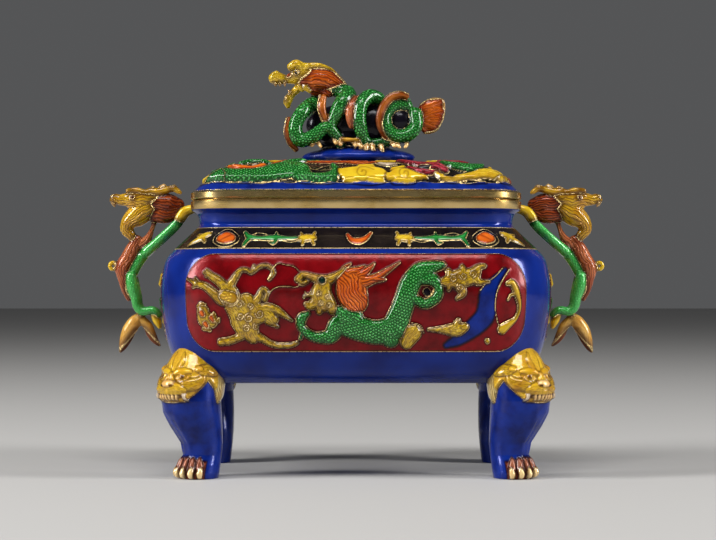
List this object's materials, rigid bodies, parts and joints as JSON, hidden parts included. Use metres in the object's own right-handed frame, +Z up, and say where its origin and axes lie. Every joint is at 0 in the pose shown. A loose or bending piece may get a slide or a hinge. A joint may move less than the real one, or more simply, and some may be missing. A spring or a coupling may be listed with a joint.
{
  "type": "incense burner",
  "caption": "Small lidded incense burner with a rounded rectangular body, dragon handles, coiled dragon finial, lion-mask legs and coloured enamel relief.",
  "frame": {"origin": "on the table under the middle of the burner, level with the undersides of the feet", "axes": "+X to the viewer's right along the long side, +Y away from the front panel, +Z up"},
  "size_m": [0.1246, 0.0648, 0.1019],
  "materials": {
    "vessel_enamel": "cast brass covered with glossy blue enamel, with red relief panels and a bare polished rim",
    "lid_enamel": "cast brass covered with glossy enamel, green and yellow relief on a dark ground, with a bare polished rim",
    "finial_enamel": "cast brass covered with glossy green, orange and yellow enamel",
    "handle_enamel": "cast brass covered with glossy yellow, maroon, green and orange enamel",
    "leg_enamel": "cast brass covered with glossy blue and yellow enamel"
  },
  "bodies": {
    "root": {"vessel": "vessel_enamel", "lid": "lid_enamel", "finial_dragon": "finial_enamel", "handle_left": "handle_enamel", "handle_right": "handle_enamel", "leg_front_left": "leg_enamel", "leg_front_right": "leg_enamel", "leg_back_left": "leg_enamel", "leg_back_right": "leg_enamel"}
  },
  "joints": []
}
